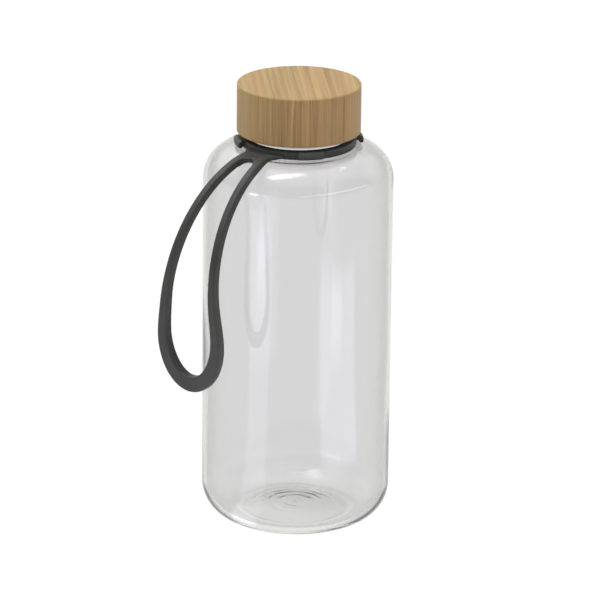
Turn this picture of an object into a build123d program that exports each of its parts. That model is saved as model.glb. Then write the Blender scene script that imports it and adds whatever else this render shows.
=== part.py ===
from build123d import *
import os
from math import atan, atan2, cos, pi, radians, sin, sqrt, tan

# A one-litre glass water bottle with a turned bamboo lid and a silicone carry strap.
# Units are millimetres. The origin is the centre of the base, +Z runs up the bottle's
# axis, and the strap's loop hangs on the -Y side.

# Glass bottle
BODY_RADIUS = 45.0
WALL = 2.0
BASE_CORNER = 16.3         # outside radius between the base and the wall
BASE_THICKNESS = 2.6
FOOT_INNER = 24.5          # the bottle stands on a ring from here out to the base corner
PUNT_RISE = 2.4            # the dome inside that ring
SHOULDER_CORNER = 16.5     # outside radius between the wall and the shoulder
SHOULDER_TOP = 185.1
NECK_RADIUS = 23.5
NECK_WALL = 2.3
NECK_FILLET = 1.5          # where the neck rises from the shoulder
RIM_TOP = 204.6
RIM_ROUNDING = 1.0
MOUTH_FLARE = 0.7

# Screw thread, one start, right-handed
PITCH = 5.0
THREAD_TURNS = 1.25
THREAD_START = 194.2       # height of the bottle thread's lower end
BOTTLE_THREAD_CREST = 24.9
BOTTLE_THREAD_FOOT = 3.0   # the ridge's width where it meets the wall
BOTTLE_THREAD_FLAT = 1.3   # and along its crest
CAP_THREAD_CREST = 23.95
CAP_THREAD_FOOT = 2.2
CAP_THREAD_FLAT = 0.9
CAP_THREAD_DROP = 2.25     # the insert's thread lies this far below the bottle's
THREAD_SUNK = 0.4          # how deep a ridge's foot lies in its wall
THREAD_FADE_TURNS = 0.14   # each end of a thread fades out over this much of a turn
THREAD_END = 0.12          # to this share of its height
SECTIONS_PER_TURN = 24

# Lid
LID_RADIUS = 29.2
LID_TOP = 215.1
BAMBOO_BOTTOM = 191.8
BAMBOO_TOP_EDGE = 0.9      # edge roundings
BAMBOO_BOTTOM_EDGE = 0.4
INSERT_RADIUS = 27.1
INSERT_BOTTOM = 190.75     # the insert shows as a pale rim below the bamboo
INSERT_BORE = 25.4
INSERT_ROOF = 1.6
POCKET_DEPTH = 1.4         # the gasket's pocket reaches this far down over the rim
POCKET_CONE = 1.2
GASKET_THICKNESS = 1.6
GASKET_BORE = 20.6
GASKET_RADIUS = 24.0
GASKET_ROUNDING = 0.3
AXIAL_GAP = 0.1            # above and below the gasket
RUNNING_GAP = 0.06         # radial clearance of one piece turning in another

# Strap: collar
COLLAR_RADIUS = 27.0
COLLAR_BOTTOM = 185.3
COLLAR_TOP = 189.0
COLLAR_BEVEL = 1.0         # inside the bottom edge, clear of the neck's fillet
COLLAR_BEVEL_RISE = 1.3
LUG_RADIUS = 30.4
LUG_TOP = 189.4
LUG_BOTTOM = 186.0
LUG_THICKNESS = 1.8
LUG_WIDTH_DEG = 23.0
LUG_ANGLES = (48.5, 138.5, 228.5, 318.5)  # round the axis, from the loop
TAB_HALF_WIDTH = 12.9      # in the ring, from where it narrows to the web
TAB_FLARE_START = 24.6     # distances out from the axis of that curve's two ends
TAB_FLARE_END = 35.0
TAB_HOLLOW_DEPTH = 1.3     # at the ring's foot
TAB_HOLLOW_END = 31.0      # the hollow rises to the tab's top here
TAB_INNER = 3.2            # the tab starts this far inside the loop's root
SEAT_GAP = 0.3             # round the loop's bending edge

# Strap: loop. It bends out and down on an arc, then hangs straight.
ROOT_OUT = 29.0            # start of the loop's centre line, out from the axis
ROOT_HEIGHT = 186.75
ROOT_SLOPE_DEG = 7.4       # below level
BEND_RADIUS = 60.5
HANG_SLOPE_DEG = 92.5      # the straight stretch leans back to the bottle
LOOP_LENGTH = 126.0        # from the root to the middle of the loop's end
END_DEPTH = 23.0           # length of the rounded end
ROOT_SPACING = 4.95        # half the distance between the strands at the root
SPACING_GROWTH = 0.1044    # how much that grows with each millimetre down
HINGE_DISTANCE = 2.2       # bending line, along the centre line from the root
STRAND_START = 3.6         # the strands begin inside the web
CROTCH_CENTRE = 11.8       # and part at a round crotch about this point
CROTCH_RADIUS = 4.2
ROOT_THICKNESS = 2.3       # thin where it bends
STRAND_THICKNESS = 3.6     # from here on
THICKENING_LENGTH = 12.0
END_THICKNESS = 4.8
STRAND_WIDTH = 3.5
END_WIDTH = 7.0
WIDENING_START = 70.0      # the strands widen from here to the loop's end
STRAP_ROUNDING = 0.9
SIDE_SECTIONS = 11
END_SECTIONS = 12
WEB_STEPS = 6


def lathe(corners, roundings):
    """Turn a closed outline of (radius, height) corners about the bottle's axis."""
    outline = FilletPolyline(*[(r, 0, z) for r, z in corners], radius=roundings, close=True)
    return revolve(make_face(outline), axis=Axis.Z)


def dome(foot_radius, foot_height, rise):
    """The ball whose top is a dome of this rise on a circle of this radius."""
    radius = (foot_radius ** 2 + rise ** 2) / (2 * rise)
    return Pos(0, 0, foot_height + rise - radius) * Sphere(radius)


def thread_section(turn, start, root, crest, foot, flat):
    """The thread's trapezoid on its own radial plane, this many turns up the helix."""
    angle = 2 * pi * turn
    plane = Plane(origin=(0, 0, start + turn * PITCH), x_dir=(cos(angle), sin(angle), 0),
                  z_dir=(sin(angle), -cos(angle), 0))
    corners = [(root, -foot / 2), (crest, -flat / 2), (crest, flat / 2), (root, foot / 2)]
    return plane * make_face(Polyline(*corners, close=True))


def thread(start, root, crest, foot, flat):
    """A helical ridge from the root radius to the crest radius, faded out at both ends."""
    sections = []
    for step in range(round(THREAD_TURNS * SECTIONS_PER_TURN) + 1):
        turn = step / SECTIONS_PER_TURN
        inwards = min(turn, THREAD_TURNS - turn) / THREAD_FADE_TURNS
        fade = min(1.0, THREAD_END + (1 - THREAD_END) * inwards)
        sections.append(thread_section(turn, start, root, root + (crest - root) * fade,
                                       flat + (foot - flat) * fade, flat))
    return loft(sections)


def glass_bottle():
    """Blown bottle with an even wall, a domed base and a threaded neck."""
    inside = BODY_RADIUS - WALL
    ceiling = SHOULDER_TOP - WALL
    mouth = NECK_RADIUS - NECK_WALL
    outside = lathe(
        [(0, 0), (BODY_RADIUS, 0), (BODY_RADIUS, SHOULDER_TOP), (NECK_RADIUS, SHOULDER_TOP),
         (NECK_RADIUS, RIM_TOP), (0, RIM_TOP)],
        [0, BASE_CORNER, SHOULDER_CORNER, NECK_FILLET, RIM_ROUNDING, 0])
    hollow = lathe(
        [(0, BASE_THICKNESS), (inside, BASE_THICKNESS), (inside, ceiling), (mouth, ceiling),
         (mouth, RIM_TOP - RIM_ROUNDING), (mouth + MOUTH_FLARE, RIM_TOP), (0, RIM_TOP)],
        [0, BASE_CORNER - WALL, SHOULDER_CORNER - WALL, NECK_FILLET + NECK_WALL, RIM_ROUNDING, 0, 0])
    punt = dome(FOOT_INNER, 0, PUNT_RISE)
    floor = dome(BODY_RADIUS - BASE_CORNER, BASE_THICKNESS, PUNT_RISE)
    ridge = thread(THREAD_START, NECK_RADIUS - THREAD_SUNK, BOTTLE_THREAD_CREST,
                   BOTTLE_THREAD_FOOT, BOTTLE_THREAD_FLAT)
    return outside - (hollow - floor) - punt + ridge


def pocket_ceiling():
    """Height of the roof that the gasket bears on."""
    return RIM_TOP + 2 * AXIAL_GAP + GASKET_THICKNESS


def bamboo_cap():
    """Turned bamboo lid with a pocket for the insert."""
    pocket_top = pocket_ceiling() + INSERT_ROOF
    return lathe(
        [(0, pocket_top), (INSERT_RADIUS, pocket_top), (INSERT_RADIUS, BAMBOO_BOTTOM),
         (LID_RADIUS, BAMBOO_BOTTOM), (LID_RADIUS, LID_TOP), (0, LID_TOP)],
        [0, 0, 0, BAMBOO_BOTTOM_EDGE, BAMBOO_TOP_EDGE, 0])


def threaded_insert():
    """Plastic liner of the lid, with the inside thread and a pocket for the gasket."""
    ceiling = pocket_ceiling()
    top = ceiling + INSERT_ROOF
    pocket = GASKET_RADIUS + RUNNING_GAP
    step = RIM_TOP - POCKET_DEPTH
    liner = lathe(
        [(0, ceiling), (pocket, ceiling), (pocket, step), (INSERT_BORE, step - POCKET_CONE),
         (INSERT_BORE, INSERT_BOTTOM), (INSERT_RADIUS, INSERT_BOTTOM), (INSERT_RADIUS, top), (0, top)],
        [0, 0, 0, 0, 0.3, 0.5, 0, 0])
    ridge = thread(THREAD_START - CAP_THREAD_DROP, INSERT_BORE + THREAD_SUNK, CAP_THREAD_CREST,
                   CAP_THREAD_FOOT, CAP_THREAD_FLAT)
    return liner + ridge


def sealing_gasket():
    """Flat silicone ring between the rim and the insert's roof."""
    bottom = RIM_TOP + AXIAL_GAP
    top = bottom + GASKET_THICKNESS
    return lathe([(GASKET_BORE, bottom), (GASKET_RADIUS, bottom), (GASKET_RADIUS, top), (GASKET_BORE, top)],
                 [GASKET_ROUNDING] * 4)


def loop_centre(distance):
    """Outward place, height and slope of the loop's centre line, this far from its root."""
    start = radians(ROOT_SLOPE_DEG)
    slope = min(start + distance / BEND_RADIUS, radians(HANG_SLOPE_DEG))
    straight = distance - BEND_RADIUS * (slope - start)
    out = ROOT_OUT + BEND_RADIUS * (sin(slope) - sin(start)) + straight * cos(slope)
    height = ROOT_HEIGHT + BEND_RADIUS * (cos(slope) - cos(start)) - straight * sin(slope)
    return out, height, slope


def strap_thickness(distance):
    """Thin at the root, soon as thick as the strands, and thickest at the end."""
    if distance < THICKENING_LENGTH:
        share = max(0.0, distance) / THICKENING_LENGTH
        return ROOT_THICKNESS + (STRAND_THICKNESS - ROOT_THICKNESS) * share
    share = (distance - THICKENING_LENGTH) / (LOOP_LENGTH - THICKENING_LENGTH)
    return STRAND_THICKNESS + (END_THICKNESS - STRAND_THICKNESS) * share


def web_half_width():
    return ROOT_SPACING + SPACING_GROWTH * HINGE_DISTANCE + STRAND_WIDTH / 2


def strap_side(start, end):
    """Side view of the flat strap between two distances along the centre line."""
    upper = []
    lower = []
    for step in range(WEB_STEPS + 1):
        distance = start + (end - start) * step / WEB_STEPS
        out, height, slope = loop_centre(distance)
        half = strap_thickness(distance) / 2
        upper.append((0, -(out + half * sin(slope)), height + half * cos(slope)))
        lower.append((0, -(out - half * sin(slope)), height - half * cos(slope)))
    return make_face(Polyline(*upper, *reversed(lower), close=True))


def collar_ring():
    bore = NECK_RADIUS + RUNNING_GAP
    return lathe(
        [(bore, COLLAR_BOTTOM + COLLAR_BEVEL_RISE), (bore + COLLAR_BEVEL, COLLAR_BOTTOM),
         (COLLAR_RADIUS, COLLAR_BOTTOM), (COLLAR_RADIUS, COLLAR_TOP), (bore, COLLAR_TOP)],
        [0.2, 0, 0.5, 0.6, 0.3])


def collar_lug(angle):
    """Grip lug that hooks over, with a notch between its lip and the ring."""
    root = COLLAR_RADIUS - 0.6
    under = COLLAR_TOP - LUG_THICKNESS
    outline = FilletPolyline(
        (root, 0, COLLAR_TOP - 0.3), (COLLAR_RADIUS + 1.6, 0, LUG_TOP), (LUG_RADIUS, 0, LUG_TOP - 0.6),
        (LUG_RADIUS, 0, LUG_BOTTOM), (LUG_RADIUS - LUG_THICKNESS, 0, LUG_BOTTOM),
        (LUG_RADIUS - LUG_THICKNESS - 0.2, 0, under), (root, 0, under),
        radius=[0, 0.8, 1.2, 0.8, 0.8, 0.5, 0], close=True)
    lug = revolve(make_face(outline), axis=Axis.Z, revolution_arc=LUG_WIDTH_DEG)
    return Rot(0, 0, angle - 90 - LUG_WIDTH_DEG / 2) * lug


def tab_plan():
    """Plan of the tab, which narrows on two curves from the ring to the web."""
    narrow = web_half_width()
    beyond = TAB_FLARE_END + STRAP_ROUNDING
    right = TangentArc((narrow, -TAB_FLARE_END), (TAB_HALF_WIDTH, -TAB_FLARE_START), tangent=(0, 1))
    left = mirror(right, about=Plane.YZ)
    inner = Polyline((TAB_HALF_WIDTH, -TAB_FLARE_START), (TAB_HALF_WIDTH, -NECK_RADIUS),
                     (-TAB_HALF_WIDTH, -NECK_RADIUS), (-TAB_HALF_WIDTH, -TAB_FLARE_START))
    outer = Polyline((-narrow, -TAB_FLARE_END), (-narrow, -beyond), (narrow, -beyond), (narrow, -TAB_FLARE_END))
    return make_face(Wire(right.edges() + inner.edges() + left.edges() + outer.edges()))


def collar_tab():
    """Tab out to the bending line, with a seat under the loop's rounded edge."""
    out, height, _ = loop_centre(HINGE_DISTANCE)
    seat = strap_thickness(HINGE_DISTANCE) / 2 + SEAT_GAP
    bending_line = Pos(0, -out, height)
    side = strap_side(-TAB_INNER, HINGE_DISTANCE)
    side -= bending_line * (Plane.YZ * Circle(seat))
    side -= bending_line * (Plane.YZ * Rectangle(2 * seat, 2 * seat, align=(Align.CENTER, Align.MIN)))
    slab = extrude(side, amount=TAB_HALF_WIDTH, dir=(1, 0, 0), both=True)
    return (slab & extrude(tab_plan(), amount=LID_TOP)) - tab_hollow()


def tab_top(out):
    """Height of the tab's flat top, this far out from the axis."""
    slope = radians(ROOT_SLOPE_DEG)
    return ROOT_HEIGHT + (ROOT_OUT - out) * tan(slope) + ROOT_THICKNESS / (2 * cos(slope))


def tab_hollow():
    """Shallow hollow in the tab's top, deepest along the ring's foot, where the tab bends."""
    foot = tab_top(COLLAR_RADIUS) - TAB_HOLLOW_DEPTH
    return lathe(
        [(NECK_RADIUS, foot), (COLLAR_RADIUS, foot), (TAB_HOLLOW_END, tab_top(TAB_HOLLOW_END)),
         (TAB_HOLLOW_END, LUG_TOP), (NECK_RADIUS, LUG_TOP)],
        [0, 0, 0, 0, 0])


def strap_collar():
    """Ring round the neck, four grip lugs and the tab that the loop grows from."""
    collar = collar_ring() + collar_tab()
    for angle in LUG_ANGLES:
        collar += collar_lug(angle)
    return collar


def band_stations():
    """Places along the band in the flat strap: (distance down, place across, direction).

    The sides are straight and run into the end, which is half an ellipse."""
    end_centre = LOOP_LENGTH - END_DEPTH
    spacing = ROOT_SPACING + SPACING_GROWTH * end_centre
    end_half_width = sqrt(spacing ** 2 - (SPACING_GROWTH * END_DEPTH) ** 2)
    end_start = -atan(SPACING_GROWTH * END_DEPTH / end_half_width)
    side_end = end_centre + END_DEPTH * sin(end_start)
    lean = atan(SPACING_GROWTH)
    side = []
    for step in range(SIDE_SECTIONS):
        down = STRAND_START + (side_end - STRAND_START) * step / SIDE_SECTIONS
        side.append((down, ROOT_SPACING + SPACING_GROWTH * down, lean))
    end = []
    for step in range(END_SECTIONS + 1):
        turn = end_start + (pi - 2 * end_start) * step / END_SECTIONS
        direction = atan2(-end_half_width * sin(turn), END_DEPTH * cos(turn))
        end.append((end_centre + END_DEPTH * sin(turn), end_half_width * cos(turn), direction))
    back = [(down, -across, pi - direction) for down, across, direction in reversed(side)]
    return side + end + back


def band_section(down, across, direction):
    """Rounded section of the band, square to its run. Direction 0 runs straight down."""
    out, height, slope = loop_centre(down)
    run = Vector(sin(direction), -cos(direction) * cos(slope), -cos(direction) * sin(slope))
    face_normal = Vector(0, -sin(slope), cos(slope))
    widening = max(0.0, (down - WIDENING_START) / (LOOP_LENGTH - WIDENING_START))
    width = STRAND_WIDTH + (END_WIDTH - STRAND_WIDTH) * widening ** 1.5
    plane = Plane(origin=(across, -out, height), x_dir=run.cross(face_normal), z_dir=run)
    return plane * RectangleRounded(width, strap_thickness(down), STRAP_ROUNDING)


def strap_loop():
    """One closed band of two strands, which part at a web with a rounded edge to bend at."""
    out, height, _ = loop_centre(HINGE_DISTANCE)
    edge = Pos(0, -out, height) * (Plane.YZ * Circle(strap_thickness(HINGE_DISTANCE) / 2))
    side = strap_side(HINGE_DISTANCE, CROTCH_CENTRE) + edge
    web = extrude(side, amount=web_half_width(), dir=(1, 0, 0), both=True)
    out, height, slope = loop_centre(CROTCH_CENTRE)
    through = Plane(origin=(0, -out, height), x_dir=(1, 0, 0), z_dir=(0, -sin(slope), cos(slope)))
    crotch = through * Cylinder(CROTCH_RADIUS, 4 * STRAND_THICKNESS)
    band = loft([band_section(*station) for station in band_stations()])
    return band + (web - crotch)


PARTS = [glass_bottle, bamboo_cap, threaded_insert, sealing_gasket, strap_collar, strap_loop]

os.makedirs("parts", exist_ok=True)
for make in PARTS:
    name = make.__name__
    solid = make()
    solid.label = name
    export_step(solid, f"parts/{name}.step")
    print(f"{name} {solid.volume / 1000:.2f} cm3")
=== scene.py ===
from math import asin, ceil, cos, hypot, pi, radians, sin, sqrt, tan

import bmesh
import bpy
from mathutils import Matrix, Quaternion, Vector


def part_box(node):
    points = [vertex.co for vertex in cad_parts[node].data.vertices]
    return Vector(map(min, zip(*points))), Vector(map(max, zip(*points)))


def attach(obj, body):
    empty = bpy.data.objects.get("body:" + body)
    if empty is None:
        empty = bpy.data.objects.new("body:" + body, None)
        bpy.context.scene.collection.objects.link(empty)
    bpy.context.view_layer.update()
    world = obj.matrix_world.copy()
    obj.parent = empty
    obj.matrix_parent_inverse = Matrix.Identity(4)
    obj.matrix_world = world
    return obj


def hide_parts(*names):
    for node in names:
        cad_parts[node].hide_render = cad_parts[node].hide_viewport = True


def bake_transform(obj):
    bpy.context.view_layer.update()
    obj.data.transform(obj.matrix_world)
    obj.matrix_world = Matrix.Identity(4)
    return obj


# The looks of a glass bottle with a bamboo lid and a silicone strap, built round its CAD frame.
# Metres, +Z up the bottle's axis, and the strap's loop hangs on the -Y side.

MM = 0.001

# Glass
WALL = 2.0 * MM
BASE_CORNER = 16.3 * MM
BASE_THICKNESS = 2.6 * MM
FOOT_INNER = 24.5 * MM
FOOT_ROUNDING = 2.0 * MM
PUNT_RISE = 2.4 * MM
SHOULDER_CORNER = 16.5 * MM
SHOULDER_TOP = 185.1 * MM
NECK_RADIUS = 23.5 * MM
NECK_WALL = 2.3 * MM
NECK_FILLET = 1.5 * MM
INNER_NECK_FILLET = 6.5 * MM      # blown glass is thick where the neck begins
RIM_ROUNDING = 1.0 * MM
LIP_ROUNDING = 0.4 * MM
MOUTH_FLARE = 0.7 * MM
MOUTH_FLARE_DEPTH = 1.4 * MM
MOUTH_FLARE_ROUNDING = 0.8 * MM
THROAT_ABOVE_SHOULDER = 6.0 * MM  # where the straight throat begins
PITCH = 5.0 * MM
THREAD_TURNS = 1.25
THREAD_START = 194.2 * MM
THREAD_HEIGHT = 1.4 * MM
THREAD_FOOT = 3.0 * MM
THREAD_FLAT = 1.3 * MM
THREAD_FADE_TURNS = 0.14
GLASS_TURN_STEPS = 256
PUNT_STEPS = 16
FLOOR_STEPS = 56
OUTLINE_STEP = 5.0 * MM
FINE_STEP = 0.3 * MM
ARC_STEP = radians(5)
SWAGE_RINGS = ((8.0 * MM, 0.12 * MM), (13.5 * MM, 0.08 * MM))   # radius and height of faint rings
SWAGE_WIDTH = 1.1 * MM
SWAGE_REACH = FOOT_INNER - 3.0 * MM
FLOOR_RIPPLES = ((2.6 * MM, 0.020 * MM), (4.3 * MM, 0.035 * MM))   # spacing and height, inside the base
# Waves of the wall's thickness: count round, radians per metre of height, start, size
WALL_WAVES = ((2, 47.0, 0.7, 0.10 * MM), (3, -31.0, 2.1, 0.07 * MM), (5, 83.0, 4.0, 0.04 * MM))
GLASS_IOR = 1.47
GLASS_TINT_AND_EDGE_SHADE = ((0.36, (0.822, 0.813, 0.824)), (0.54, (0.76, 0.76, 0.742)), (0.66, (0.65, 0.655, 0.62)),
               (0.85, (0.52, 0.53, 0.475)))   # from face on to edge on: the glass's own tint face on, painted shade darker and greener towards edge on
GLASS_DEPTH_TINT = (0.60, 0.70, 0.50)
GLASS_DENSITY = 22.0

# Bamboo lid
FIBRE_AZIMUTH = radians(42.0)
BOARD_THICKNESS = 3.4 * MM
BAMBOO_TONES = ((0.36, (0.235, 0.138, 0.046)), (0.46, (0.335, 0.208, 0.075)), (0.54, (0.395, 0.251, 0.095)),
                (0.66, (0.485, 0.322, 0.132)))
BAMBOO_DARK_LINE = (0.25, 0.155, 0.066)
# The pale line colour is also used for the painted highlight on the lid's upper edge
BAMBOO_PALE_LINE_AND_HIGHLIGHT = (0.56, 0.40, 0.20)
# Fine lines: level of the noise that they follow, width in it, strength, colour
BAMBOO_LINES = ((0.46, 0.010, 0.6, BAMBOO_DARK_LINE), (0.56, 0.014, 0.65, BAMBOO_PALE_LINE_AND_HIGHLIGHT))
BAMBOO_SIDE = (0.86, 0.85, 0.87)
BAMBOO_RED = (0.43, 0.25, 0.105)
BAMBOO_GREEN = (0.335, 0.252, 0.10)
BAMBOO_RIM_HIGHLIGHT_REACH = 1.1 * MM        # how far the painted highlight along the upper edge reaches

# Strap
STRAP_VOXEL = 0.3 * MM
STRAP_SMOOTHING = 3
STRAP_SWELL = 0.16 * MM           # what the smoothing takes off
BORE_RADIUS = 23.6 * MM
BORE_REACH = 0.7 * MM
ROOT_OUT = 29.0 * MM
ROOT_HEIGHT = 186.75 * MM
ROOT_SLOPE = radians(7.4)
BEND_RADIUS = 60.5 * MM
ROOT_HALF_THICKNESS = 1.1 * MM
WEB_HALF_WIDTH = 6.93 * MM
FLARE_RADIUS = 12.0 * MM          # the web widens to the ring on two curves
FLARE_END = 35.0 * MM
RELIEF = (29.0 * MM, 40.0 * MM, 0.35 * MM)   # start, end and depth of the web's hollowed underside
RELIEF_LOWEST = 178.0 * MM
COLLAR_RADIUS = 27.0 * MM
HOLLOW_END = 31.0 * MM            # the hollow along the ring's foot
HOLLOW_DEPTH = 1.3 * MM
# The dent in the web: start, end, half width and depth
SCOOP = (28.5 * MM, 38.0 * MM, 6.2 * MM, 0.7 * MM)
FILLER_START = 28.2 * MM
FILLER_STEPS = 12
STRAP_TONES = ((0.3, (0.0195, 0.0205, 0.018)), (0.7, (0.029, 0.030, 0.0262)))
# Colour of the strap's dust specks, and of the painted light on the collar and the web
DUST_AND_PAINTED_LIGHT = (0.12, 0.12, 0.112)
PAINTED_LIGHT_LOWEST = 177.0 * MM          # painted light on the collar and the web, above here
PAINTED_LIGHT_FADE = 6.0 * MM
PAINTED_LIGHT_SHARE = 0.19

# Studio
CAMERA_AZIMUTH = radians(37.0)
CAMERA_ELEVATION = radians(18.92)
CAMERA_ROLL = radians(0.615)
CAMERA_DISTANCE = 1.989
CAMERA_SIDE = 1.43 * MM
CAMERA_LENS = 250.6
AIM = Vector((0.0, 0.0, 107.4 * MM))
FLOOR_RADIUS = 12.0
FLOOR_GLOW = 1.02
# Pools of light on the floor: azimuth and half angle in degrees, nearest and furthest distance, strength
FLOOR_POOLS = (
    (-6.0, 12.0, 0.04, 0.52, 0.7),
    (-5.0, 6.0, 0.42, 0.50, 1.5),
    (86.0, 21.0, 0.14, 0.41, 1.4),
    (84.0, 6.0, 0.33, 0.39, 2.0),
)
POOL_COLOUR = (1.0, 0.98, 1.2)
# Lights in the sky: azimuth and elevation in degrees, half width and half height, soft edge, strength
SOFT_BOXES = (
    (-24.0, 72.0, 0.01, 0.12, 0.10, 14.0),
    (-24.0, 82.0, 0.02, 0.16, 0.12, 6.0),
    (-14.0, 5.0, 0.16, 0.05, 0.03, 4.0),
    (85.0, 17.0, 1.0, 0.02, 0.04, 2.0),
    (165.0, 48.0, 0.30, 0.30, 0.45, 0.3),
    (-100.0, 52.0, 0.45, 0.45, 0.50, 0.6),
    (173.0, 56.0, 0.02, 0.02, 0.03, 4.0),
)
SKY_LOW = (0.90, 0.90, 0.90)
SKY_HIGH = (0.22, 0.22, 0.23)
SKY_TOP = (1.3, 1.3, 1.32)


# ---------------------------------------------------------------- shader helpers

class Nodes:
    """Short ways to add and join shader nodes in one tree."""

    def __init__(self, tree):
        self.tree = tree
        self.tree.nodes.clear()

    def add(self, kind, inputs=None, **settings):
        node = self.tree.nodes.new(kind)
        for name, value in settings.items():
            setattr(node, name, value)
        for name, value in (inputs or {}).items():
            self.put(node.inputs[name], value)
        return node

    def put(self, socket, value):
        if isinstance(value, bpy.types.NodeSocket):
            self.tree.links.new(value, socket)
        elif isinstance(value, bpy.types.Node):
            self.tree.links.new(value.outputs[0], socket)
        else:
            socket.default_value = value

    def math(self, operation, first, second=0.0, clamp=False):
        return self.add("ShaderNodeMath", {0: first, 1: second}, operation=operation,
                        use_clamp=clamp).outputs[0]

    def vector(self, operation, first, second=(0.0, 0.0, 0.0)):
        node = self.add("ShaderNodeVectorMath", {0: first, 1: second}, operation=operation)
        return node.outputs["Value" if operation in ("DOT_PRODUCT", "LENGTH", "DISTANCE") else 0]

    def noise(self, vector, scale, detail=3.0, roughness=0.55):
        return self.add("ShaderNodeTexNoise", {"Vector": vector, "Scale": scale, "Detail": detail,
                                               "Roughness": roughness}).outputs[0]

    def span(self, value, low, high, to_low=0.0, to_high=1.0):
        return self.add("ShaderNodeMapRange", {"Value": value, "From Min": low, "From Max": high,
                                               "To Min": to_low, "To Max": to_high},
                        interpolation_type="SMOOTHSTEP").outputs[0]

    def weigh(self, *terms):
        total = 0.0
        for value, weight in terms:
            total = self.math("ADD", total, self.math("MULTIPLY", value, weight))
        return total

    def ramp(self, factor, stops):
        node = self.add("ShaderNodeValToRGB", {0: factor})
        while len(node.color_ramp.elements) < len(stops):
            node.color_ramp.elements.new(0.5)
        for element, (place, colour) in zip(node.color_ramp.elements, stops):
            element.position = place
            element.color = (*colour, 1.0)
        return node.outputs[0]

    def mix(self, factor, first, second, blend="MIX"):
        node = self.add("ShaderNodeMix", data_type="RGBA", blend_type=blend)
        for name, value in (("Factor_Float", factor), ("A_Color", first), ("B_Color", second)):
            socket = next(s for s in node.inputs if s.identifier == name)
            self.put(socket, (*value, 1.0) if isinstance(value, tuple) else value)
        return next(s for s in node.outputs if s.identifier == "Result_Color")

    def bump(self, height, distance, strength=1.0):
        return self.add("ShaderNodeBump", {"Height": height, "Distance": distance,
                                           "Strength": strength}).outputs[0]

    def principled(self, inputs):
        shader = self.add("ShaderNodeBsdfPrincipled", inputs)
        return self.add("ShaderNodeOutputMaterial", {"Surface": shader.outputs[0]})


def new_material(name):
    material = bpy.data.materials.new(name)
    material.use_nodes = True
    return material, Nodes(material.node_tree)


# ---------------------------------------------------------------- materials

def bamboo_material(lid_top, lid_radius):
    """Pressed bamboo: upright sheets of fibre, seen as lines on top and streaks down the side."""
    material, n = new_material("bamboo")
    place = n.add("ShaderNodeTexCoord").outputs["Object"]
    grain = n.add("ShaderNodeMapping", {"Vector": place, "Rotation": (0.0, 0.0, -FIBRE_AZIMUTH)}).outputs[0]
    sheet = n.vector("MULTIPLY", grain, (1.0, 0.014, 0.02))
    upright = n.vector("MULTIPLY", place, (1.0, 1.0, 0.02))
    normal = n.add("ShaderNodeNewGeometry").outputs["Normal"]
    facing_up = n.add("ShaderNodeSeparateXYZ", {0: normal}).outputs[2]
    on_side = n.span(facing_up, 0.8, 0.3)
    layer = n.mix(n.math("MULTIPLY", on_side, 0.6), n.noise(sheet, 560.0, 2.0, 0.5),
                  n.noise(upright, 900.0, 2.0, 0.5))
    fibre = n.mix(n.math("MULTIPLY", on_side, 0.7), n.noise(sheet, 1700.0, 3.0, 0.6),
                  n.noise(upright, 2400.0, 2.0, 0.6))
    tone = n.weigh((layer, 0.42), (fibre, 0.46), (bamboo_boards(n, grain), 0.12))
    colour = bamboo_veins(n, n.ramp(tone, BAMBOO_TONES), sheet)
    colour = bamboo_patches(n, colour, grain)
    colour = n.mix(on_side, colour, BAMBOO_SIDE, "MULTIPLY")
    rim = rim_highlight_share(n, place, lid_top, lid_radius)
    # Painted highlight: a paler band along the lid's upper edge
    colour = n.mix(n.math("MULTIPLY", rim, 0.25), colour, BAMBOO_PALE_LINE_AND_HIGHLIGHT)
    n.principled({"Base Color": colour, "Roughness": n.span(fibre, 0.3, 0.7, 0.46, 0.62),
                  "Specular IOR Level": 0.35, "Normal": n.bump(fibre, 0.09 * MM, 0.5)})
    return material


def bamboo_veins(n, colour, sheet):
    """Adds the long dark and pale lines between the sheets of fibre."""
    vein = n.noise(sheet, 300.0, 1.0, 0.4)
    for level, width, share, line in BAMBOO_LINES:
        mask = n.span(n.math("ABSOLUTE", n.math("SUBTRACT", vein, level)), width, 0.0)
        colour = n.mix(n.math("MULTIPLY", mask, share), colour, line)
    return colour


def bamboo_patches(n, colour, grain):
    """Turns some strips a little redder and some a little greener."""
    hue = n.noise(n.vector("MULTIPLY", grain, (1.0, 0.05, 0.08)), 170.0, 2.0)
    colour = n.mix(n.span(hue, 0.50, 0.72, 0.0, 0.5), colour, BAMBOO_RED)
    return n.mix(n.span(hue, 0.48, 0.30, 0.0, 0.5), colour, BAMBOO_GREEN)


def bamboo_boards(n, grain):
    """A tone for each pressed board, a few millimetres thick."""
    across = n.add("ShaderNodeSeparateXYZ", {0: grain}).outputs[0]
    wander = n.noise(n.vector("MULTIPLY", grain, (1.0, 0.25, 0.25)), 60.0, 2.0)
    place = n.math("ADD", across, n.math("MULTIPLY", wander, 1.2 * MM))
    board = n.add("ShaderNodeTexVoronoi", {"W": place, "Scale": 1 / BOARD_THICKNESS, "Randomness": 1.0},
                  voronoi_dimensions="1D", feature="F1")
    return n.add("ShaderNodeSeparateColor", {0: board.outputs["Color"]}).outputs[0]


def rim_highlight_share(n, place, lid_top, lid_radius):
    """How near the lid's upper edge a point is: the mask of the painted highlight along that edge."""
    radius = n.vector("LENGTH", n.vector("MULTIPLY", place, (1.0, 1.0, 0.0)))
    height = n.add("ShaderNodeSeparateXYZ", {0: place}).outputs[2]
    return n.math("MULTIPLY", n.span(radius, lid_radius - BAMBOO_RIM_HIGHLIGHT_REACH, lid_radius - 0.3 * MM),
                  n.span(height, lid_top - BAMBOO_RIM_HIGHLIGHT_REACH - 0.1 * MM, lid_top - 0.3 * MM))


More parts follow.
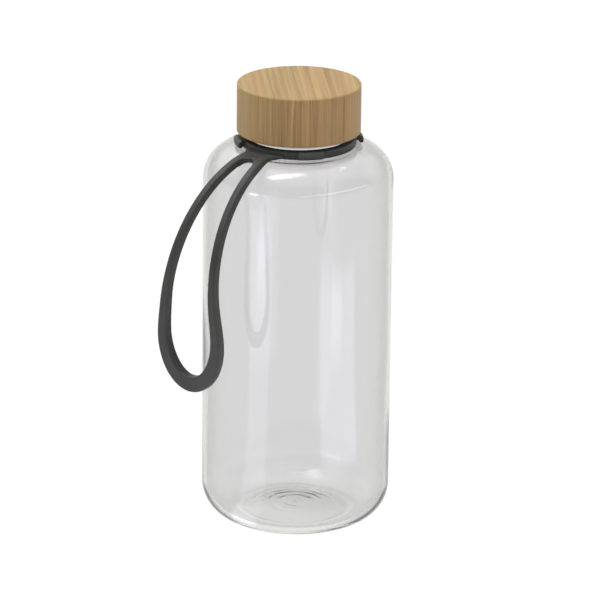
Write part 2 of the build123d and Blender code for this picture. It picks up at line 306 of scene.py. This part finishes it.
def insert_material():
    """Cream polypropylene, a little cloudy."""
    material, n = new_material("insert_plastic")
    place = n.add("ShaderNodeTexCoord").outputs["Object"]
    cloud = n.noise(place, 140.0, 3.0)
    grain = n.noise(place, 3500.0, 2.0)
    colour = n.ramp(cloud, ((0.3, (0.62, 0.54, 0.42)), (0.7, (0.70, 0.62, 0.50))))
    n.principled({"Base Color": colour, "Roughness": n.span(grain, 0.3, 0.7, 0.34, 0.5),
                  "Subsurface Weight": 0.15, "Subsurface Radius": (1.0, 0.8, 0.6),
                  "Subsurface Scale": 1.0 * MM, "Normal": n.bump(grain, 0.02 * MM, 0.5)})
    return material


def seal_material():
    """Milky soft silicone."""
    material, n = new_material("seal_silicone")
    place = n.add("ShaderNodeTexCoord").outputs["Object"]
    cloud = n.noise(place, 220.0, 3.0)
    grain = n.noise(place, 2600.0, 2.0)
    colour = n.ramp(cloud, ((0.3, (0.70, 0.71, 0.69)), (0.7, (0.80, 0.81, 0.79))))
    n.principled({"Base Color": colour, "Roughness": n.span(grain, 0.3, 0.7, 0.40, 0.55),
                  "Subsurface Weight": 0.3, "Subsurface Radius": (1.0, 1.0, 1.0),
                  "Subsurface Scale": 1.5 * MM, "Normal": n.bump(grain, 0.02 * MM, 0.4)})
    return material


def strap_material():
    """Dark grey moulded silicone with a fine matt skin and a little dust, and painted light that lightens
    the collar and the web.
    """
    material, n = new_material("strap_silicone")
    place = n.add("ShaderNodeTexCoord").outputs["Object"]
    cloud = n.noise(place, 70.0, 3.0)
    skin = n.noise(place, 2400.0, 3.0, 0.6)
    dust = n.span(n.noise(place, 5200.0, 1.0), 0.68, 0.78)
    colour = n.ramp(cloud, STRAP_TONES)
    colour = n.mix(n.math("MULTIPLY", dust, 0.25), colour, DUST_AND_PAINTED_LIGHT)
    # Painted light: the collar and the web are lightened towards the dust colour, standing in for the light
    # on their upper faces
    height = n.add("ShaderNodeSeparateXYZ", {0: place}).outputs[2]
    painted_light = n.math("MULTIPLY", n.span(height, PAINTED_LIGHT_LOWEST, PAINTED_LIGHT_LOWEST + PAINTED_LIGHT_FADE),
                  n.span(cloud, 0.2, 0.8, 0.7, 1.0))
    colour = n.mix(n.math("MULTIPLY", painted_light, PAINTED_LIGHT_SHARE), colour, DUST_AND_PAINTED_LIGHT)
    n.principled({"Base Color": colour, "Roughness": n.span(skin, 0.3, 0.7, 0.46, 0.60),
                  "Specular IOR Level": 0.5, "Normal": n.bump(skin, 0.03 * MM, 0.5)})
    return material


def glass_material():
    """Clear borosilicate with a faint green, worn on the ring that it stands on, with painted shade
    darkening it towards its edges.
    """
    material, n = new_material("clear_glass")
    place = n.add("ShaderNodeTexCoord").outputs["Object"]
    height = n.add("ShaderNodeSeparateXYZ", {0: place}).outputs[2]
    scuff = n.noise(place, 900.0, 4.0, 0.7)
    foot = n.math("MULTIPLY", n.span(height, 0.25 * MM, 0.02 * MM), n.span(scuff, 0.35, 0.7))
    flow = n.noise(n.vector("MULTIPLY", place, (1.0, 1.0, 0.22)), 38.0, 2.0, 0.4)
    edge_on = n.add("ShaderNodeLayerWeight", {"Blend": 0.5}).outputs["Facing"]
    # Painted shade: the base colour darkens and turns greener as the surface turns edge on
    output = n.principled({"Base Color": n.ramp(edge_on, GLASS_TINT_AND_EDGE_SHADE),
                           "Roughness": n.math("MULTIPLY", foot, 0.22),
                           "IOR": GLASS_IOR, "Transmission Weight": 1.0,
                           "Normal": n.bump(flow, 0.12 * MM, 0.5)})
    absorb = n.add("ShaderNodeVolumeAbsorption", {"Color": (*GLASS_DEPTH_TINT, 1.0),
                                                  "Density": GLASS_DENSITY})
    n.put(output.inputs["Volume"], absorb.outputs[0])
    return material


# ---------------------------------------------------------------- mesh helpers

def new_piece(name, mesh, material):
    piece = bpy.data.objects.new(name, mesh)
    bpy.context.scene.collection.objects.link(piece)
    mesh.materials.clear()
    mesh.materials.append(material)
    return piece


def rounded(corners, step):
    """Outline through (radius, height, rounding) corners, with arcs, and straights cut into steps."""
    points = [Vector(corners[0][:2])]
    for before, corner, after in zip(corners, corners[1:], corners[2:]):
        here = Vector(corner[:2])
        back = (Vector(before[:2]) - here).normalized()
        ahead = (Vector(after[:2]) - here).normalized()
        turn = pi - back.angle(ahead)
        cut = corner[2] * tan(turn / 2)
        first = here + back * cut
        last = here + ahead * cut
        add_run(points, first, step)
        if corner[2] > 0:
            centre = here + (back + ahead).normalized() * (corner[2] / cos(turn / 2))
            add_arc(points, centre, first, last, turn)
    add_run(points, Vector(corners[-1][:2]), step)
    return points


def add_run(points, end, step):
    start = points[-1]
    pieces = max(1, ceil((end - start).length / step))
    if (end - start).length < 1e-7:
        return
    for i in range(1, pieces + 1):
        points.append(start.lerp(end, i / pieces))


def add_arc(points, centre, first, last, turn):
    a = first - centre
    b = last - centre
    pieces = max(2, ceil(turn / ARC_STEP))
    for i in range(1, pieces + 1):
        share = i / pieces
        points.append(centre + (a * sin((1 - share) * turn) + b * sin(share * turn)) / sin(turn))


def lathe_mesh(name, outline, displace, turn_steps):
    """Turn an outline that starts and ends on the axis. displace gives each ring point's shift."""
    bm = bmesh.new()
    start = bm.verts.new((0.0, 0.0, outline[0].y))
    rings = []
    for index, point in enumerate(outline[1:-1], start=1):
        ring = []
        for i in range(turn_steps):
            angle = 2 * pi * i / turn_steps
            radius, height = displace(index, point, angle)
            ring.append(bm.verts.new((radius * cos(angle), radius * sin(angle), height)))
        rings.append(ring)
    end = bm.verts.new((0.0, 0.0, outline[-1].y))
    for i in range(turn_steps):
        j = (i + 1) % turn_steps
        bm.faces.new((start, rings[0][j], rings[0][i]))
        for lower, upper in zip(rings, rings[1:]):
            bm.faces.new((lower[i], lower[j], upper[j], upper[i]))
        bm.faces.new((rings[-1][i], rings[-1][j], end))
    for face in bm.faces:
        face.smooth = True
    mesh = bpy.data.meshes.new(name)
    bm.to_mesh(mesh)
    bm.free()
    return mesh


# ---------------------------------------------------------------- bottle

def smooth_step(value):
    value = min(1.0, max(0.0, value))
    return value * value * (3 - 2 * value)


def dome_height(radius, foot_radius, rise):
    ball = (foot_radius ** 2 + rise ** 2) / (2 * rise)
    return rise - ball + sqrt(ball ** 2 - radius ** 2)


def glass_outline(body, rim_top):
    """Outer then inner outline, from the middle of the base round over the rim and back.

    Also gives the index of the first inner point."""
    inside = body - WALL
    mouth = NECK_RADIUS - NECK_WALL
    ceiling = SHOULDER_TOP - WALL
    throat = SHOULDER_TOP + THROAT_ABOVE_SHOULDER
    outer = []
    for i in range(PUNT_STEPS):
        radius = (FOOT_INNER - FOOT_ROUNDING) * i / PUNT_STEPS
        outer.append((radius, dome_height(radius, FOOT_INNER, PUNT_RISE), 0.0))
    outer += [(FOOT_INNER, 0.0, FOOT_ROUNDING), (body, 0.0, BASE_CORNER),
              (body, SHOULDER_TOP, SHOULDER_CORNER), (NECK_RADIUS, SHOULDER_TOP, NECK_FILLET),
              (NECK_RADIUS, THREAD_START - THREAD_FOOT, 0.0)]
    thread_top = THREAD_START + PITCH * THREAD_TURNS + THREAD_FOOT
    low = rounded(outer, OUTLINE_STEP)
    threaded = rounded([(NECK_RADIUS, THREAD_START - THREAD_FOOT, 0.0), (NECK_RADIUS, thread_top, 0.0)],
                       FINE_STEP)
    top = rounded([(NECK_RADIUS, thread_top, 0.0), (NECK_RADIUS, rim_top, RIM_ROUNDING),
                   (mouth + MOUTH_FLARE + LIP_ROUNDING, rim_top, LIP_ROUNDING),
                   (mouth, rim_top - MOUTH_FLARE_DEPTH, MOUTH_FLARE_ROUNDING),
                   (mouth, throat, 0.0)], OUTLINE_STEP)
    inner = [(mouth, throat, 0.0), (mouth, ceiling, INNER_NECK_FILLET),
             (inside, ceiling, SHOULDER_CORNER - WALL), (inside, BASE_THICKNESS, BASE_CORNER - WALL)]
    floor_edge = body - BASE_CORNER
    for i in range(FLOOR_STEPS - 1, -1, -1):
        radius = floor_edge * i / FLOOR_STEPS
        inner.append((radius, BASE_THICKNESS + dome_height(radius, floor_edge, PUNT_RISE), 0.0))
    low_part = low + threaded[1:] + top[1:]
    return low_part + rounded(inner, OUTLINE_STEP)[1:], len(low_part)


def thread_rise(angle, height):
    """How far the thread stands out of the neck there."""
    nearest = (height - THREAD_START) / PITCH - angle / (2 * pi)
    turn = round(nearest) + angle / (2 * pi)
    if not 0.0 <= turn <= THREAD_TURNS:
        return 0.0
    off = abs(height - THREAD_START - turn * PITCH)
    flank = (THREAD_FOOT - THREAD_FLAT) / 2
    fade = min(1.0, min(turn, THREAD_TURNS - turn) / THREAD_FADE_TURNS)
    return THREAD_HEIGHT * smooth_step(1 - (off - THREAD_FLAT / 2) / flank) * smooth_step(fade)


def swage(radius):
    """Faint rings that the mould leaves in the middle of the base."""
    rise = 0.0
    for ring, height in SWAGE_RINGS:
        rise += height * max(0.0, 1 - ((radius - ring) / SWAGE_WIDTH) ** 2)
    return rise


def glass_bottle():
    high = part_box("glass_bottle")[1]
    body = high.x
    outline, first_inner = glass_outline(body, high.z)

    def displace(index, point, angle):
        radius, height = point
        if index < first_inner:
            if radius < SWAGE_REACH and height < PUNT_RISE + MM:
                return radius, height + swage(radius)
            return radius + thread_rise(angle, height), height
        wave = sum(size * sin(count * angle + along * height + start)
                   for count, along, start, size in WALL_WAVES)
        share = smooth_step(radius / body * 2 - 0.6)
        ripple = 0.0
        if height < BASE_CORNER:
            ripple = sum(size * sin(2 * pi * radius / spacing) for spacing, size in FLOOR_RIPPLES)
        rise = (wave * smooth_step(radius / (10 * MM)) + ripple) * (1 - share)
        return radius + wave * share, height + rise

    mesh = lathe_mesh("bottle_glass", outline, displace, GLASS_TURN_STEPS)
    piece = new_piece("bottle_glass", mesh, glass_material())
    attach(piece, "bottle")
    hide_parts("glass_bottle")
    return piece


# ---------------------------------------------------------------- strap

def root_line(out):
    """Height of the strap's centre line near its root."""
    slope = asin((out - ROOT_OUT) / BEND_RADIUS + sin(ROOT_SLOPE))
    return ROOT_HEIGHT + BEND_RADIUS * (cos(slope) - cos(ROOT_SLOPE))


def strap_filler(bm):
    """Closes the small gap at the bending line between the collar and the loop, out to the flare."""
    stations = []
    for step in range(FILLER_STEPS + 1):
        out = FILLER_START + (FLARE_END - FILLER_START) * step / FILLER_STEPS
        reach = FLARE_END - out
        half_width = WEB_HALF_WIDTH + FLARE_RADIUS - sqrt(FLARE_RADIUS ** 2 - reach ** 2)
        middle = root_line(out)
        hollow = HOLLOW_DEPTH * max(0.0, (HOLLOW_END - out) / (HOLLOW_END - COLLAR_RADIUS))
        top = middle + ROOT_HALF_THICKNESS - hollow
        bottom = middle - ROOT_HALF_THICKNESS
        stations.append([bm.verts.new((x, -out, z)) for x, z in (
            (half_width, top), (-half_width, top), (-half_width, bottom), (half_width, bottom))])
    for near, far in zip(stations, stations[1:]):
        for i in range(4):
            j = (i + 1) % 4
            bm.faces.new((near[i], near[j], far[j], far[i]))
    bm.faces.new(stations[0][::-1])
    bm.faces.new(stations[-1])


def dent_depth(place, normal):
    """How deep the web's shallow dent is there."""
    start, end, half_width, depth = SCOOP
    out = -place.y
    if normal.z < 0.3 or abs(place.x) > half_width or not start < out < end:
        return 0.0
    return depth * smooth_step(1 - abs(place.x) / half_width) * sin(pi * (out - start) / (end - start))


def root_relief(place, normal):
    """How far the web's underside is hollowed there, to clear the shoulder when the loop is pushed in."""
    start, end, depth = RELIEF
    out = -place.y
    if normal.z > -0.3 or not start < out < end or place.z < RELIEF_LOWEST:
        return 0.0
    return depth * sin(pi * (out - start) / (end - start))


def silicone_strap(frame):
    """The collar and the loop merged into the one moulding that they are, joined at the loop's root, where
    the real strap bends.
    """
    bm = bmesh.new()
    for node in ("strap_collar", "strap_loop"):
        bm.from_mesh(frame["nodes"][node].data)
    strap_filler(bm)
    mesh = bpy.data.meshes.new("silicone_strap")
    bm.to_mesh(mesh)
    bm.free()
    piece = new_piece("silicone_strap", mesh, strap_material())
    remesh = piece.modifiers.new("skin", "REMESH")
    remesh.mode = "VOXEL"
    remesh.voxel_size = STRAP_VOXEL
    remesh.use_smooth_shade = True
    smooth = piece.modifiers.new("soften", "SMOOTH")
    smooth.factor = 0.5
    smooth.iterations = STRAP_SMOOTHING
    settle(piece)
    normals = [vertex.normal.copy() for vertex in piece.data.vertices]
    for vertex, normal in zip(piece.data.vertices, normals):
        vertex.co.z += root_relief(vertex.co, normal) - dent_depth(vertex.co, normal)
        vertex.co += normal * STRAP_SWELL
        radius = hypot(vertex.co.x, vertex.co.y)
        if radius < BORE_RADIUS + BORE_REACH:
            vertex.co.xy *= max(radius, BORE_RADIUS) / radius
    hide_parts("strap_collar", "strap_loop")
    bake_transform(piece)
    return piece


def settle(piece):
    """Makes the piece's modifiers part of its mesh."""
    graph = bpy.context.evaluated_depsgraph_get()
    mesh = bpy.data.meshes.new_from_object(piece.evaluated_get(graph))
    piece.modifiers.clear()
    material = piece.data.materials[0]
    piece.data = mesh
    mesh.materials.clear()
    mesh.materials.append(material)
    mesh.name = piece.name


# ---------------------------------------------------------------- CAD nodes

def finish_node(frame, node, material):
    piece = frame["nodes"][node]
    piece.data.materials.clear()
    piece.data.materials.append(material)


# ---------------------------------------------------------------- studio

def studio_floor():
    bm = bmesh.new()
    bmesh.ops.create_circle(bm, cap_ends=True, radius=FLOOR_RADIUS, segments=96)
    mesh = bpy.data.meshes.new("floor")
    bm.to_mesh(mesh)
    bm.free()
    material, n = new_material("floor")
    place = n.add("ShaderNodeTexCoord").outputs["Object"]
    colour = (FLOOR_GLOW, FLOOR_GLOW, FLOOR_GLOW)
    for azimuth, half_angle, near, far, strength in FLOOR_POOLS:
        mask = light_pool(n, place, azimuth, half_angle, near, far)
        colour = n.mix(n.math("MULTIPLY", mask, strength), colour, POOL_COLOUR, "ADD")
    glow = n.add("ShaderNodeEmission", {"Color": colour, "Strength": 1.0})
    n.add("ShaderNodeOutputMaterial", {"Surface": glow.outputs[0]})
    floor_object = new_piece("floor", mesh, material)


def light_pool(n, place, azimuth, half_angle, near, far):
    """Mask of a wedge of floor that a side light brightens."""
    a = radians(azimuth)
    ahead = n.vector("DOT_PRODUCT", place, (sin(a), -cos(a), 0.0))
    aside = n.math("ABSOLUTE", n.vector("DOT_PRODUCT", place, (cos(a), sin(a), 0.0)))
    angle = n.math("DIVIDE", aside, n.math("MAXIMUM", ahead, 0.01))
    half = tan(radians(half_angle))
    mask = n.math("MULTIPLY", n.span(angle, half * 1.2, half * 0.8),
                  n.span(ahead, near * 0.8, near * 1.2))
    return n.math("MULTIPLY", mask, n.span(ahead, far * 1.12, far * 0.92))


def soft_box(n, direction, azimuth, elevation, half_width, half_height, edge):
    """Mask of a rectangular light in the sky, with soft edges. Sizes are tangents."""
    a = radians(azimuth)
    e = radians(elevation)
    ahead = Vector((sin(a) * cos(e), -cos(a) * cos(e), sin(e)))
    side = Vector((cos(a), sin(a), 0.0))
    up = ahead.cross(side)
    depth = n.vector("DOT_PRODUCT", direction, tuple(ahead))
    safe = n.math("MAXIMUM", depth, 0.01)
    across = n.math("ABSOLUTE", n.math("DIVIDE", n.vector("DOT_PRODUCT", direction, tuple(side)), safe))
    along = n.math("ABSOLUTE", n.math("DIVIDE", n.vector("DOT_PRODUCT", direction, tuple(up)), safe))
    mask = n.math("MULTIPLY", n.span(across, half_width + edge, half_width),
                  n.span(along, half_height + edge, half_height))
    return n.math("MULTIPLY", mask, n.math("GREATER_THAN", depth, 0.01))


def studio_light():
    world = bpy.data.worlds.new("studio")
    bpy.context.scene.world = world
    world.use_nodes = True
    n = Nodes(world.node_tree)
    direction = n.add("ShaderNodeTexCoord").outputs["Generated"]
    height = n.add("ShaderNodeSeparateXYZ", {0: direction}).outputs[2]
    sky = n.mix(n.span(height, 0.02, 0.22), SKY_LOW, SKY_HIGH)
    sky = n.mix(n.span(height, 0.5, 1.0), sky, SKY_TOP)
    behind = n.vector("DOT_PRODUCT", direction, (-sin(CAMERA_AZIMUTH), cos(CAMERA_AZIMUTH), 0.0))
    backdrop = n.math("MULTIPLY", n.span(behind, 0.1, 0.45), n.span(height, 0.78, 0.55))
    sky = n.mix(backdrop, sky, SKY_LOW)
    for azimuth, elevation, half_width, half_height, edge, strength in SOFT_BOXES:
        mask = soft_box(n, direction, azimuth, elevation, half_width, half_height, edge)
        light = n.math("MULTIPLY", mask, strength)
        grey = n.add("ShaderNodeCombineXYZ", {0: light, 1: light, 2: light}).outputs[0]
        sky = n.mix(1.0, sky, grey, "ADD")
    seen = n.add("ShaderNodeLightPath").outputs["Is Camera Ray"]
    colour = n.mix(seen, sky, (1.0, 1.0, 1.0))
    background = n.add("ShaderNodeBackground", {"Color": colour, "Strength": 1.0})
    n.add("ShaderNodeOutputWorld", {"Surface": background.outputs[0]})


def studio_camera():
    a = CAMERA_AZIMUTH
    e = CAMERA_ELEVATION
    back = Vector((sin(a) * cos(e), -cos(a) * cos(e), sin(e)))
    turn = (-back).to_track_quat("-Z", "Y") @ Quaternion((0, 0, 1), CAMERA_ROLL)
    data = bpy.data.cameras.new("camera")
    data.lens = CAMERA_LENS
    data.clip_start = 0.05
    data.clip_end = 50.0
    camera = bpy.data.objects.new("camera", data)
    camera.rotation_mode = "QUATERNION"
    camera.rotation_quaternion = turn
    camera.location = AIM + back * CAMERA_DISTANCE + turn @ Vector((CAMERA_SIDE, 0, 0))
    bpy.context.scene.collection.objects.link(camera)
    bpy.context.scene.camera = camera


# ---------------------------------------------------------------- scene

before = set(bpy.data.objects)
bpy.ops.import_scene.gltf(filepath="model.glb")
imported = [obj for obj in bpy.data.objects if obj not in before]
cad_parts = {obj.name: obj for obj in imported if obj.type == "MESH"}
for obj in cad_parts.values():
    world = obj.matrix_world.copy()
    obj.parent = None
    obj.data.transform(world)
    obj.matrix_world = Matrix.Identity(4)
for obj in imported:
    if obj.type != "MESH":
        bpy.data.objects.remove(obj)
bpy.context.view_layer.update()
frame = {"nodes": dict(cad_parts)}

lid_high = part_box("bamboo_cap")[1]
finish_node(frame, "bamboo_cap", bamboo_material(lid_high.z, lid_high.x))
finish_node(frame, "threaded_insert", insert_material())
finish_node(frame, "sealing_gasket", seal_material())
glass_bottle()
silicone_strap(frame)

studio_floor()
studio_light()
studio_camera()
bpy.context.scene.view_settings.view_transform = "Standard"
